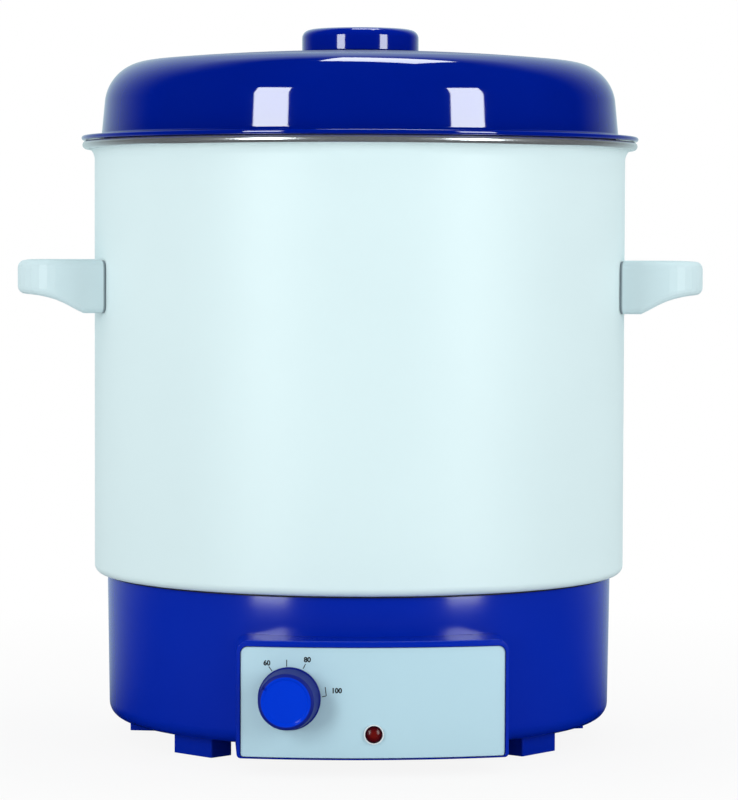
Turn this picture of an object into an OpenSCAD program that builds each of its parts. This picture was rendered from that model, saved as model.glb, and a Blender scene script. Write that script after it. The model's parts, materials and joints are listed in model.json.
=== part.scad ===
// Hot pack heater: an enamelled pot on a moulded base with a bowed control box, and a domed lid.
// Millimetres. Z is up, the control box faces -Y, and the origin is on the floor below the pot's axis.

/* [Pot] */
// Inner diameter of the pot
pot_inner_d = 350; // [320:1:380]
// Thickness of the enamelled sheet
pot_wall = 1; // [0.8:0.1:1.4]
// Height from the pot's bottom to the top of the steel rim
pot_h = 285.7; // [240:0.1:330]
// Outer radius of the corner round the pot's bottom
pot_corner_r = 5.5; // [4:0.5:10]
// Radius at which the mouth flares out
flare_r = 9; // [7:0.5:12]
// Angle that the mouth flares through
flare_angle = 62; // [50:1:68]
// Diameter of the rolled steel rim
rim_bead_d = 5.5; // [5:0.1:7]
// Sheet thickness of the rolled steel rim
rim_sheet_t = 0.6; // [0.4:0.1:0.8]

/* [Lid] */
// Height from the lid's edge to the top of the crown
lid_h = 58.8; // [50:0.1:80]
// Thickness of the lid's sheet
lid_sheet_t = 1.2; // [0.8:0.1:1.6]
// Diameter of the rolled edge
lid_edge_d = 3; // [2.4:0.1:4]
// How far the dome stands inside the pot's wall
lid_wall_inset = 3.8; // [2.5:0.1:9]
// How much narrower the dome is at its shoulder
lid_wall_draft = 1.9; // [0.5:0.1:6]
// Radius of the shoulder
lid_shoulder_r = 29; // [15:1:40]
// Radius of the sphere that the crown is part of
lid_crown_r = 1471; // [700:1:2500]
// Slope of the flange in degrees
lid_flange_slope = 8.4; // [4:0.1:12]
// Depth of the folded lip below the rim's top
lid_lip_depth = 4; // [2:0.5:12]
// How far the lid's edge reaches past the steel rim
lid_overhang = 0.6; // [0:0.1:3]
// Diameter of the lid's knob
lid_knob_d = 77.4; // [50:0.1:100]
// Height of the lid's knob
lid_knob_h = 16.1; // [10:0.1:30]
// Radius of the lid knob's upper edge
lid_knob_edge_r = 5.5; // [2:0.5:7]
// How far the lid knob's top is crowned
lid_knob_crown = 1.4; // [0:0.1:3]
// Wall of the hollow lid knob
lid_knob_wall = 2.5; // [2:0.1:4]

/* [Handles] */
// How far a handle stands out from the pot
handle_reach = 49.5; // [45:0.5:70]
// Width of a handle's loop
handle_w = 110; // [90:1:140]
// Thickness of the grip seen from above
handle_grip_t = 18; // [15:0.5:21]
// Height of the handle at its root
handle_root_h = 34.4; // [28:0.1:50]
// Height of the handle at its grip
handle_end_h = 22.2; // [18:0.1:28]
// How early the underside rises from the root to the grip, 1 for halfway
handle_rise = 0.65; // [0.5:0.05:1]
// Height of the handle's top above the pot's bottom
handle_top_h = 207.2; // [120:0.1:215]
// Outer corner radius seen from above
handle_plan_r = 26; // [19:0.5:26]
// Length of the straight root below the handle
handle_root_l = 6; // [6:0.5:16]
// Rounding of the edges on the outside of the loop
handle_outer_edge_r = 5; // [2:0.5:7]
// Rounding of the edges on the inside of the loop
handle_inner_edge_r = 3.5; // [2:0.5:6]

/* [Base] */
// Height of the moulded base without its feet
base_h = 94.5; // [80:0.1:120]
// How far the base's top stands back from the pot's wall
base_step = 8.6; // [4:0.1:13]
// How much narrower the base is at its bottom
base_draft = 1.2; // [0:0.1:4]
// Radius of the base's lower corner
base_corner_r = 10; // [6:0.5:14]
// Wall of the mouldings
base_wall = 2.8; // [2:0.1:3.6]
// Width of the ledge that the pot stands on
ledge_w = 17.4; // [12:0.1:24]
// Thickness of the ledge
ledge_t = 3; // [2:0.5:5]
// Thickness of the seal between pot and base
gasket_t = 1.3; // [0.8:0.1:2.5]
// Width of the seal
gasket_w = 10; // [6:0.5:14]

/* [Bottom cover] */
// Thickness of the bottom cover
cover_t = 2.5; // [2:0.1:4]
// Width of the flange that the cover lies against
cover_flange_w = 10; // [6:0.5:14]
// Height of the feet
foot_h = 12.5; // [9:0.1:30]
// Width of a foot along the rim
foot_w = 35; // [24:0.5:44]
// Depth of a foot towards the axis
foot_l = 18; // [12:0.5:24]
// Radius of a foot's edges
foot_edge_r = 1; // [0.5:0.1:4]
// How far the feet's outer faces stand back from the base's top edge
foot_inset = 15.4; // [14.4:0.1:27]
// Angle between the middle of the box and the first foot on each side
foot_angle = 47; // [44:0.5:60]
// Number of feet
foot_n = 6; // [4:1:7]
// Height of the stiffening ribs
rib_h = 7; // [3:0.5:12]
// Thickness of the stiffening ribs
rib_t = 2; // [1.2:0.1:3]
// Width of a vent slot
vent_w = 4; // [2:0.5:5]
// Length of a vent slot
vent_l = 34; // [16:1:40]
// Number of vent slots in each of the six fields
vent_n = 4; // [2:1:5]

/* [Control box] */
// Width of the control box
box_w = 168.6; // [150:0.1:200]
// Height of the control box
box_h = 73.6; // [66:0.1:80]
// Height of the box's underside above the floor
box_z = 9.4; // [9:0.1:12]
// How far the box's front stands out from the base's top edge
box_reach = 25.6; // [20:0.1:42]
// Radius of the bowed front
bow_r = 335; // [280:1:600]
// Radius of the box's upper corners
box_corner_top_r = 8; // [4:0.5:14]
// Radius of the box's lower corners
box_corner_low_r = 3; // [2:0.5:8]
// Rounding of the front rim
box_edge_r = 2; // [1:0.5:2.5]
// Width of the fascia plate
fascia_w = 163.6; // [146:0.1:164]
// Height of the fascia plate
fascia_h = 68.1; // [56:0.1:69]
// Height of the plate's lower edge above the box's underside
fascia_low = 1.4; // [1.2:0.1:4]
// Thickness of the fascia plate
fascia_t = 2; // [1.5:0.1:3]
// How deep the plate lies behind the rim
fascia_inset = 1; // [0.5:0.1:2]
// Radius of the plate's upper corners
fascia_corner_top_r = 4.3; // [2:0.1:8]
// Radius of the plate's lower corners
fascia_corner_low_r = 1.8; // [1:0.1:4]

/* [Control knob] */
// Distance of the knob from the middle of the panel, along its bow
knob_x = 52; // [30:0.1:58]
// Height of the knob's axis above the floor
knob_z = 47.4; // [40:0.1:56]
// Diameter of the knob's skirt
knob_d = 39; // [34:0.5:48]
// Diameter of the knob's front face
knob_face_d = 32.5; // [28:0.1:33]
// Length of the knob
knob_l = 18; // [14:0.5:26]
// Depth of the dish in the knob's face
knob_dish = 0.6; // [0:0.1:1.2]
// Radius of the knob's shoulder
knob_shoulder_r = 2.2; // [1:0.1:3]
// Wall of the hollow knob
knob_wall = 2; // [1.4:0.1:2.6]
// Diameter of the thermostat's shaft
shaft_d = 6; // [5:0.5:7]
// Play of the shaft in its bearing, on the diameter
shaft_play = 0.14; // [0.04:0.02:0.18]
// Depth of the flat on the shaft
shaft_flat = 0.9; // [0.5:0.1:1.4]
// Turn of the pointer from straight up, clockwise positive
pointer_angle = -58; // [-90:1:90]

/* [Indicator lamp] */
// Diameter of the lamp's lens
lens_d = 10.6; // [8:0.1:14]
// Height of the lens dome above the plate
lens_dome_h = 3.2; // [2:0.1:4]
// Diameter of the lamp's bezel
bezel_d = 12.4; // [11:0.1:17]
// Height of the bezel above the plate
bezel_h = 1.1; // [0.6:0.1:2]
// Diameter of the lamp's barrel
lamp_barrel_d = 8.6; // [6:0.1:9]
// Height of the lamp above the floor
lamp_z = 25.5; // [22:0.1:36]
// Length of the lamp's socket
lamp_socket_l = 16; // [10:0.5:24]

/* [Heater] */
// Radius of the aluminium plate under the pot
heater_plate_r = 100; // [88:1:108]
// Thickness of that plate
heater_plate_t = 3; // [2:0.5:4]
// Diameter of the heating element's tube
element_d = 8; // [6.5:0.1:8.5]
// Radius of the element's ring
element_r = 70; // [60:1:78]
// Half of the gap in the ring, in degrees
element_gap = 22; // [18:1:28]
// Bend radius where the ends leave the ring
element_bend_r = 14; // [12:0.5:16]
// Length of the straight ends
element_end_l = 34; // [24:1:38]
// Width of the clamp's three arms
clamp_arm_w = 18; // [12:0.5:22]
// Thickness of the clamp
clamp_t = 2; // [1.5:0.1:3]
// How far the clamp's arms reach past the element
clamp_past = 6; // [3:0.5:9]
// Diameter of the stud in the middle
stud_d = 6; // [5:0.5:8]
// Radius of the heat shield
shield_r = 104; // [92:1:106]
// Thickness of the heat shield
shield_t = 1; // [0.5:0.1:1.5]
// Height of the heat shield's turned up edge
shield_edge_h = 2; // [1:0.1:2.5]
// Radius at which the three long screws stand
tie_r = 120; // [118:0.5:126]
// Diameter of the long screws
tie_d = 6; // [5:0.5:6.5]
// Outer diameter of the pillars round them
pillar_d = 18; // [16:0.5:20]
// Depth of the recess for their heads
pillar_recess = 20; // [10:1:40]

/* [Rack] */
// Gap between the rack and the pot's wall
rack_gap = 11; // [9:0.5:35]
// Thickness of the rack's sheet
rack_t = 1.5; // [1:0.1:2.5]
// Height of the rack's legs
rack_leg_h = 12; // [8:0.5:40]
// Diameter of the rack's holes
rack_hole_d = 12; // [8:0.5:14]
// Distance between the rack's rings of holes
rack_pitch = 25; // [22:0.5:36]
// Number of rings of holes
rack_ring_n = 5; // [2:1:5]

/* [Cord bush] */
// Bore of the cord bush at the back
bush_bore_d = 8; // [6:0.1:9]
// Diameter of the bush's neck in the wall
bush_neck_d = 12.5; // [12:0.1:15]
// Length of the bush's nose
bush_nose_l = 16; // [8:0.5:26]
// Height of the bush above the floor
bush_z = 45; // [36:0.5:70]

/* [Fits] */
// Clearance of parts that are fitted together
fit = 0.3; // [0.2:0.05:0.4]
// Clearance round screws and pins
hole_fit = 0.3; // [0.2:0.05:0.4]
// Dark joint round the fascia plate
fascia_gap = 0.4; // [0.3:0.05:0.4]
// Diameter of the handle screws and the thermostat's screws
small_screw_d = 4; // [3:0.1:4.2]
// Length of the handle screws in the handle
handle_screw_l = 18; // [12:0.5:22]
// Diameter of the screw in the lid's knob
lid_screw_d = 5; // [4:0.5:6]

/* [Hidden] */
$fn = 96;
enamel_white = [0.87, 0.93, 0.94];
panel_grey = [0.7, 0.83, 0.87];
handle_grey = [0.79, 0.87, 0.89];
base_blue = [0.01, 0.13, 0.6];
knob_blue = [0, 0.22, 0.8];
steel = [0.72, 0.73, 0.74];
aluminium = [0.8, 0.8, 0.82];
brass = [0.76, 0.62, 0.3];
black_rubber = [0.06, 0.06, 0.07];
phenolic_brown = [0.16, 0.12, 0.1];
lens_red = [0.45, 0.02, 0.04];

arc_n = 10;      // steps in a rounded corner of a revolved outline
over = 1;        // how far a cutting solid runs past what it cuts

pot_inner_r = pot_inner_d / 2;
pot_outer_r = pot_inner_r + pot_wall;
lid_wall_r = pot_inner_r - lid_wall_inset;
rack_r = pot_inner_r - rack_gap;
base_top_r = pot_outer_r - base_step;
foot_outer_r = base_top_r - foot_inset;
box_front = base_top_r + box_reach;
base_z = foot_h;
base_top_z = base_z + base_h;
pot_z = base_top_z + gasket_t;
rim_top_z = pot_z + pot_h;
rim_bead_r = rim_bead_d / 2;
rim_z = rim_top_z - rim_bead_r;
// the flare ends a little short of the middle of the rolled rim
flare_end_r = pot_outer_r + flare_r * (1 - cos(flare_angle));
rim_r = flare_end_r + 0.5;
flare_z = rim_z - 1.5 - flare_r * sin(flare_angle);
rim_outer_r = rim_r + rim_bead_r;

lid_z = rim_top_z + fit;
lid_edge_r = lid_edge_d / 2;
lid_edge_c = rim_outer_r + lid_overhang - lid_edge_r;
lid_flange_z = lid_z + lid_edge_r;
lid_top_z = lid_z + lid_h;
lid_knob_z = lid_top_z + 0.1;
lid_knob_r = lid_knob_d / 2;
lid_hub_r = lid_screw_d / 2 + 5;

handle_z = pot_z + handle_top_h;
handle_arm_y = (handle_w - handle_grip_t) / 2;
handle_grip_x = pot_outer_r + handle_reach - handle_grip_t / 2;
handle_screw_angle = asin(handle_arm_y / pot_outer_r);
handle_screw_z = handle_z - handle_root_h / 2;
handle_bend_r = handle_plan_r - handle_grip_t / 2;
washer_t = 1;
screw_head_t = 2.4;

base_low_r = base_top_r - base_draft;
base_flat_r = base_low_r - base_corner_r;
cover_seat_r = base_flat_r - 0.4;
cover_r = cover_seat_r - fit;
cover_top_z = base_z + cover_t;
flange_z = cover_top_z + 0.1;
flange_inner_r = cover_seat_r - cover_flange_w;
flange_t = 2.5;
ledge_inner_r = base_top_r - ledge_w;
gasket_outer_r = base_top_r + 0.6;

bow_y = bow_r - box_front;                 // where the bow's centre lies on Y
box_top_z = box_z + box_h;
box_back_y = -base_top_r * 0.8;            // inside the base, where its side walls end
fascia_z = box_z + fascia_low;
fascia_front_r = bow_r - fascia_inset;
fascia_back_r = fascia_front_r - fascia_t;
front_wall_r = fascia_back_r - base_wall;  // inner face of the wall behind the plate
knob_turn = -asin(knob_x / bow_r);
// heights along the knob's axis, counted from the bow's surface
plate_face = -fascia_inset;
wall_back = front_wall_r - bow_r;
thermostat_face = wall_back - 1.2;
thermostat_w = 38;
thermostat_h = 32;
thermostat_l = 22;
bracket_t = 1.5;
thermostat_screw_x = 12;
knob_back = plate_face + 0.5;
knob_front = knob_back + knob_l;
knob_hub_r = shaft_d / 2 + 3;
shaft_end = knob_front - knob_wall - 2;
shaft_start = thermostat_face - bracket_t - 10;
lamp_body_d = lamp_barrel_d + 5;

heater_z = pot_z - heater_plate_t;
element_z = heater_z - element_d / 2;
clamp_top_z = element_z - element_d / 2;
clamp_z = clamp_top_z - clamp_t;
nut_h = 5;
shield_top_z = clamp_z - nut_h;
shield_z = shield_top_z - shield_t;
stud_low_z = shield_z - nut_h - 1.5;
shield_edge_z = shield_top_z + shield_edge_h;
boss_h = 12;                               // threaded bosses under the pot
boss_z = pot_z - boss_h;
tie_angles = [30, 150, 270];
clamp_angles = [90, 210, 330];
pillar_top_z = boss_z - fit;
tie_head_z = base_z + pillar_recess;
cutout_r = 42;
cutout_angle = 30;
cutout_d = 16;
cutout_h = 8;
bulb_d = 6;
bulb_l = 50;
bulb_r = 45;
bulb_angle = 150;
bulb_z = heater_z - bulb_d / 2;
capillary_d = 2.4;
block_size = [46, 22, 18];
block_y = 108;
bush_flange_d = bush_neck_d + 6;
lead_d = 2.6;

// Every sub-part

// Points on an arc round c, from angle a to angle b
function arc(c, r, a, b, n = arc_n) =
    [for (i = [0:n]) c + r * [cos(a + (b - a) * i / n), sin(a + (b - a) * i / n)]];

// A value that eases from 0 to 1
function ease(t) = let (u = min(max(t, 0), 1)) u * u * (3 - 2 * u);

// A tube of radius r with n sides along hand-picked points
function unit(v) = v / norm(v);
function path_dir(p, i) = unit(p[min(i + 1, len(p) - 1)] - p[max(i - 1, 0)]);
function side_of(d) = unit(cross(d, abs(d.z) > 0.9 ? [1, 0, 0] : [0, 0, 1]));
// Each ring's side axis is the last one with its part along the path taken out, so the tube never twists
function carried(p, i, last) = let (d = path_dir(p, i)) unit(last - (last * d) * d);
function sides(p, i = 0, last = undef) =
    i == len(p) ? [] :
    let (s = i == 0 ? side_of(path_dir(p, 0)) : carried(p, i, last)) concat([s], sides(p, i + 1, s));
function tube_ring(c, d, s, r, n) =
    let (u = cross(d, s)) [for (k = [0:n - 1]) c + r * (cos(360 * k / n) * s + sin(360 * k / n) * u)];
// A point on the Catmull-Rom curve through four points
function curve_point(a, b, c, d, t) =
    0.5 * (2 * b + (c - a) * t + (2 * a - 5 * b + 4 * c - d) * t * t + (3 * b - a - 3 * c + d) * t * t * t);
// Hand-picked points joined by a smooth curve, with m steps between each two
function smooth_path(p, m = 4) =
    let (last = len(p) - 1)
    concat([for (i = [0:last - 1], j = [0:m - 1])
        curve_point(p[max(i - 1, 0)], p[i], p[i + 1], p[min(i + 2, last)], j / m)], [p[last]]);
// Rings of n points become a closed skin with flat ends
function skin_faces(rings, n) =
    concat(
        [for (i = [0:rings - 2], k = [0:n - 1]) [i * n + k, (i + 1) * n + k, i * n + (k + 1) % n]],
        [for (i = [0:rings - 2], k = [0:n - 1])
            [i * n + (k + 1) % n, (i + 1) * n + k, (i + 1) * n + (k + 1) % n]],
        [for (k = [1:n - 2]) [0, k, k + 1]],
        [for (k = [1:n - 2]) [(rings - 1) * n, (rings - 1) * n + k + 1, (rings - 1) * n + k]]);
module tube(p, d, n = 8) {
    s = sides(p);
    pts = [for (i = [0:len(p) - 1]) each tube_ring(p[i], path_dir(p, i), s[i], d / 2, n)];
    polyhedron(points = pts, faces = skin_faces(len(p), n));
}

// A rectangle with its own radius at the upper and the lower corners
module panel_outline(w, h, top_r, low_r) {
    polygon(concat(
        arc([w / 2 - low_r, low_r], low_r, -90, 0),
        arc([w / 2 - top_r, h - top_r], top_r, 0, 90),
        arc([top_r - w / 2, h - top_r], top_r, 90, 180),
        arc([low_r - w / 2, low_r], low_r, 180, 270)));
}
// The same with true arcs, standing on y = 0
module round_rect(w, l, r) {
    translate([-w / 2, r]) square([w, l - 2 * r]);
    if (w > 2 * r) translate([r - w / 2, 0]) square([w - 2 * r, l]);
    for (x = [r - w / 2, w / 2 - r], y = [r, l - r]) translate([x, y]) circle(r = r);
}
// A slot with round ends, centred
module slot(w, l) {
    square([w, l - w], center = true);
    for (y = [-1, 1]) translate([0, y * (l - w) / 2]) circle(d = w);
}
// Places children on the bowed front: +Z points out of the panel, +Y up
module on_front(angle, z) {
    translate([0, bow_y, z]) rotate([0, 0, angle]) translate([0, -bow_r, 0]) rotate([90, 0, 0]) children();
}
// Places children on the axis of a handle screw, with +Z away from the pot's axis
module at_handle_screws(side) {
    for (way = [-1, 1]) rotate([0, 0, (side < 0 ? 180 : 0) + way * handle_screw_angle])
        translate([0, 0, handle_screw_z]) rotate([0, 90, 0]) children();
}
module at_tie_screws() {
    for (a = tie_angles) rotate([0, 0, a]) translate([tie_r, 0, 0]) children();
}
module pan_screw(d, l, head_d, head_t) {
    cylinder(d = d, h = l);
    translate([0, 0, -head_t]) cylinder(d = head_d, h = head_t + 0.01);
}
module hex_nut(af, d, h) {
    difference() {
        cylinder(r = af / 2 / cos(30), h = h, $fn = 6);
        translate([0, 0, -over]) cylinder(d = d + hole_fit, h = h + 2 * over);
    }
}

// The pot's sheet as an outline of radius and height, made thicker by c on each side
function pot_outline(c = 0) =
    let (
        corner = [pot_outer_r - pot_corner_r, pot_z + pot_corner_r],
        flare = [pot_outer_r + flare_r, flare_z],
        turn = 180 - flare_angle)
    concat(
        [[0, pot_z - c]],
        arc(corner, pot_corner_r + c, -90, 0),
        arc(flare, flare_r - c, 180, turn),
        arc(flare, flare_r + pot_wall + c, turn, 180),
        arc(corner, pot_corner_r - pot_wall - c, 0, -90),
        [[0, pot_z + pot_wall + c]]);

module pot() {
    color(enamel_white) difference() {
        rotate_extrude() polygon(pot_outline());
        for (side = [-1, 1]) at_handle_screws(side)
            translate([0, 0, pot_outer_r - 10]) cylinder(d = small_screw_d + hole_fit, h = 20);
    }
}

module rim_band() {
    color(steel) rotate_extrude() difference() {
        translate([rim_r, rim_z]) circle(r = rim_bead_r);
        translate([rim_r, rim_z]) circle(r = rim_bead_r - rim_sheet_t);
        polygon(pot_outline(0.15));
    }
}

// The sheet tray that keeps the packs off the hot bottom
module rack() {
    floor_z = pot_z + pot_wall + 0.1;
    deck_z = floor_z + rack_leg_h;
    color(steel) difference() {
        union() {
            translate([0, 0, deck_z]) cylinder(r = rack_r, h = rack_t);
            translate([0, 0, floor_z]) difference() {
                cylinder(r = rack_r - 14, h = rack_leg_h + 0.01);
                translate([0, 0, -over]) cylinder(r = rack_r - 14 - rack_t, h = rack_leg_h + 2 * over);
                for (a = [0:30:150]) rotate([0, 0, a])
                    translate([-rack_r, -14, -over]) cube([2 * rack_r, 28, rack_leg_h - 3 + over]);
            }
        }
        for (ring = [1:rack_ring_n], k = [0:6 * ring - 1]) rotate([0, 0, 60 * k / ring])
            translate([rack_pitch * ring, 0, deck_z - over]) cylinder(d = rack_hole_d, h = rack_t + 2 * over);
        translate([0, 0, deck_z - over]) cylinder(d = rack_hole_d, h = rack_t + 2 * over);
    }
}

// The centre line of a handle's loop seen from above, from one root to the other
handle_path = concat(
    [for (x = [pot_outer_r, pot_outer_r + handle_root_l / 2, pot_outer_r + handle_root_l])
        [x, handle_arm_y]],
    [for (i = [1:3]) [pot_outer_r + handle_root_l
        + (handle_grip_x - handle_bend_r - pot_outer_r - handle_root_l) * i / 4, handle_arm_y]],
    arc([handle_grip_x - handle_bend_r, handle_arm_y - handle_bend_r], handle_bend_r, 90, 0, 7));
handle_loop = concat(
    handle_path,
    [[handle_grip_x, 0]],
    [for (i = [len(handle_path) - 1:-1:0]) [handle_path[i].x, -handle_path[i].y]]);
function handle_height(x) =
    let (
        from = pot_outer_r + handle_root_l,
        way = max(0, min(1, (x - from) / (handle_grip_x - from))))
    handle_root_h - (handle_root_h - handle_end_h) * ease(pow(way, handle_rise));
// Section of the grip: x is outwards from the loop, y is up from the underside
function handle_section(h) =
    let (w = handle_grip_t / 2, ro = handle_outer_edge_r, ri = handle_inner_edge_r)
    concat(
        arc([w - ro, ro], ro, -90, 0, 4),
        arc([w - ro, h - ro], ro, 0, 90, 4),
        arc([ri - w, h - ri], ri, 90, 180, 4),
        arc([ri - w, ri], ri, 180, 270, 4));
function handle_ring(i) =
    let (
        p = handle_loop[i],
        d = unit(handle_loop[min(i + 1, len(handle_loop) - 1)] - handle_loop[max(i - 1, 0)]),
        out = [-d.y, d.x],
        h = handle_height(p.x),
        root = i == 0 || i == len(handle_loop) - 1)
    [for (s = handle_section(h))
        let (x = p.x + s.x * out.x, y = p.y + s.x * out.y)
        [root ? sqrt(pow(pot_outer_r + fit, 2) - y * y) : x, y, handle_z - h + s.y]];

module handle_solid() {
    rings = [for (i = [0:len(handle_loop) - 1]) handle_ring(i)];
    polyhedron(points = [for (r = rings) each r], faces = skin_faces(len(rings), len(rings[0])));
}
module handle(side) {
    color(handle_grey) difference() {
        rotate([0, 0, side < 0 ? 180 : 0]) handle_solid();
        at_handle_screws(side) translate([0, 0, pot_outer_r - over])
            cylinder(d = small_screw_d + hole_fit, h = handle_screw_l + over + fit);
    }
}
module handle_left() {
    handle(-1);
}
module handle_right() {
    handle(1);
}
// The screws' heads lie inside the pot on sealing washers
washer_r = pot_outer_r - pot_wall - 0.1;
module handle_screws() {
    color(steel) for (side = [-1, 1]) at_handle_screws(side)
        translate([0, 0, washer_r - washer_t - 0.05])
            pan_screw(small_screw_d, handle_screw_l + washer_t + pot_wall, 2 * small_screw_d, screw_head_t);
}
module handle_washers() {
    color(black_rubber) for (side = [-1, 1]) at_handle_screws(side)
        translate([0, 0, washer_r - washer_t]) difference() {
            cylinder(d = 2.5 * small_screw_d, h = washer_t);
            translate([0, 0, -over]) cylinder(d = small_screw_d + hole_fit, h = washer_t + 2 * over);
        }
}

// The lid's sheet: crown, shoulder and wall, t below its outer surface
function lid_line(t) =
    let (
        crown_c = [0, lid_top_z - lid_crown_r],
        lean = atan(lid_wall_draft / (lid_h - lid_shoulder_r)),
        shoulder_x = lid_wall_r - lid_wall_draft - lid_shoulder_r * cos(lean),
        shoulder = [shoulder_x, crown_c.y
            + sqrt(pow(lid_crown_r - lid_shoulder_r, 2) - shoulder_x * shoulder_x)],
        join = atan2(shoulder.y - crown_c.y, shoulder.x))
    concat(
        arc(crown_c, lid_crown_r - t, 90, join, 12),
        arc(shoulder, lid_shoulder_r - t, join, lean, 14));
module lid() {
    fall = tan(lid_flange_slope);
    wall_z = lid_flange_z + (lid_edge_c - lid_wall_r) * fall + lid_sheet_t / 2;
    lip_r = lid_wall_r - 2 * lid_sheet_t;
    roll = 180 - asin(lid_sheet_t / 2 / lid_edge_r);  // where the flange runs into its rolled edge
    outside = lid_line(0);
    inside = lid_line(lid_sheet_t);
    color(base_blue) difference() {
        rotate_extrude() polygon(concat(
                outside,
                [[lid_wall_r, wall_z + 1.5], [lid_wall_r + 1.2, wall_z]],
                arc([lid_edge_c, lid_flange_z], lid_edge_r, roll, -roll, 16),
                [[lid_wall_r + fit, wall_z - lid_sheet_t], [lid_wall_r, wall_z - lid_sheet_t - 0.4]],
                [[lid_wall_r, rim_top_z - lid_lip_depth], [lip_r, rim_top_z - lid_lip_depth]],
                [[lip_r, wall_z]],
                [for (i = [len(inside) - 1:-1:0]) inside[i]]));
        translate([0, 0, lid_top_z - 10]) cylinder(d = lid_screw_d + hole_fit, h = 20);
    }
}

// A hollow cap with a hub that stands on the crown round its screw
module lid_knob() {
    top = lid_knob_z + lid_knob_h;
    rim_top = top - lid_knob_crown;
    inner_r = lid_knob_r - lid_knob_wall;
    flat_r = lid_knob_r - lid_knob_edge_r;
    ceiling = rim_top - lid_knob_wall;
    skirt_z = lid_knob_z + 0.2;
    color(base_blue) difference() {
        rotate_extrude() polygon(concat(
            [[0, lid_knob_z], [0, top]],
            [for (i = [1:6]) let (x = flat_r * i / 6) [x, top - lid_knob_crown * pow(x / lid_knob_r, 2)]],
            arc([flat_r, rim_top - lid_knob_edge_r + 0.2], lid_knob_edge_r, 80, 0),
            [[lid_knob_r, skirt_z + 0.6], [lid_knob_r - 0.6, skirt_z], [inner_r, skirt_z]],
            arc([inner_r - 3, ceiling - 3], 3, 0, 90, 5),
            [[lid_hub_r, ceiling], [lid_hub_r, lid_knob_z]]));
        translate([0, 0, lid_knob_z - over])
            cylinder(d = lid_screw_d + hole_fit, h = lid_knob_h - lid_knob_crown - lid_knob_wall + over);
    }
}
module lid_knob_screw() {
    below = lid_sheet_t + washer_t + 0.15;
    color(steel) translate([0, 0, lid_top_z - below])
        pan_screw(lid_screw_d, below + lid_knob_h - lid_knob_crown - lid_knob_wall - 1, 2 * lid_screw_d, 3);
}
module lid_knob_washer() {
    color(steel) translate([0, 0, lid_top_z - lid_sheet_t - washer_t - 0.1]) difference() {
        cylinder(d = 3 * lid_screw_d, h = washer_t);
        translate([0, 0, -over]) cylinder(d = lid_screw_d + hole_fit, h = washer_t + 2 * over);
    }
}

// The moulding's outside from the axis: flat underside, rounded corner and tapered side
function base_outside() = concat(
    [[0, base_z]],
    arc([base_flat_r, base_z + base_corner_r], base_corner_r, -90, 0),
    [[base_top_r, base_top_z], [0, base_top_z]]);
// The space inside it, open at the top in the ledge and at the bottom for the cover
function base_inside() =
    let (
        inner_r = base_corner_r - base_wall,
        low = flange_z + flange_t,
        from = asin(max(min((low - base_z - base_corner_r) / inner_r, 0), -1)))
    concat(
        [[0, box_z - over], [cover_seat_r, box_z - over], [cover_seat_r, flange_z]],
        [[flange_inner_r, flange_z], [flange_inner_r, low]],
        arc([base_flat_r, base_z + base_corner_r], inner_r, from, 0),
        [[base_top_r - base_wall, base_top_z - ledge_t], [ledge_inner_r, base_top_z - ledge_t]],
        [[ledge_inner_r, base_top_z + over], [0, base_top_z + over]]);
// A front outline pushed forwards from inside the base
module pushed_forward(z) {
    translate([0, box_back_y, z]) rotate([90, 0, 0]) linear_extrude(height = box_front) children();
}
module box_outside() {
    intersection() {
        translate([0, bow_y, 0]) rotate_extrude() polygon(concat(
            [[0, box_z]],
            arc([bow_r - box_edge_r, box_z + box_edge_r], box_edge_r, -90, 0, 5),
            arc([bow_r - box_edge_r, box_top_z - box_edge_r], box_edge_r, 0, 90, 5),
            [[0, box_top_z]]));
        pushed_forward(box_z) panel_outline(box_w, box_h, box_corner_top_r, box_corner_low_r);
    }
}
module box_inside() {
    intersection() {
        translate([0, bow_y, 0]) cylinder(r = front_wall_r, h = box_top_z);
        pushed_forward(box_z + base_wall) panel_outline(box_w - 2 * base_wall, box_h - 2 * base_wall,
            max(box_corner_top_r - base_wall, 1), max(box_corner_low_r - base_wall, 0.5));
    }
}
// The plate's form between two radii of the bow, with a gap all round
module bowed_plate(back_r, front_r, gap) {
    intersection() {
        translate([0, bow_y, 0]) difference() {
            cylinder(r = front_r, h = box_top_z);
            translate([0, 0, -over]) cylinder(r = back_r, h = box_top_z + 2 * over);
        }
        pushed_forward(fascia_z - gap) panel_outline(fascia_w + 2 * gap, fascia_h + 2 * gap,
            fascia_corner_top_r + gap, fascia_corner_low_r + gap);
    }
}
// Holes that the plate and the wall behind it share
bush_d = shaft_d + 4;
module panel_holes() {
    on_front(knob_turn, knob_z) translate([0, 0, thermostat_face - over]) {
        cylinder(d = bush_d + 2 * hole_fit, h = -thermostat_face + 2 * over);
        for (side = [-1, 1]) translate([side * thermostat_screw_x, 0, 0])
            cylinder(d = small_screw_d + 2 * hole_fit, h = -thermostat_face + 2 * over);
    }
    on_front(0, lamp_z) translate([0, 0, wall_back - 2])
        cylinder(d = lamp_barrel_d + 2 * hole_fit, h = -wall_back + 4);
}
module base_housing() {
    color(base_blue) difference() {
        union() {
            difference() {
                union() {
                    rotate_extrude() polygon(base_outside());
                    box_outside();
                }
                rotate_extrude() polygon(base_inside());
                box_inside();
                bowed_plate(fascia_back_r, bow_r + over, fascia_gap);
            }
            on_front(knob_turn, knob_z) translate([-thermostat_w / 2 - 3, -thermostat_h / 2, thermostat_face])
                cube([thermostat_w + 6, thermostat_h, wall_back - thermostat_face + 0.5]);
        }
        panel_holes();
        translate([0, base_low_r - 2 * base_wall, bush_z]) rotate([-90, 0, 0])
            cylinder(d = bush_neck_d + hole_fit, h = 4 * base_wall);
    }
}
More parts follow.
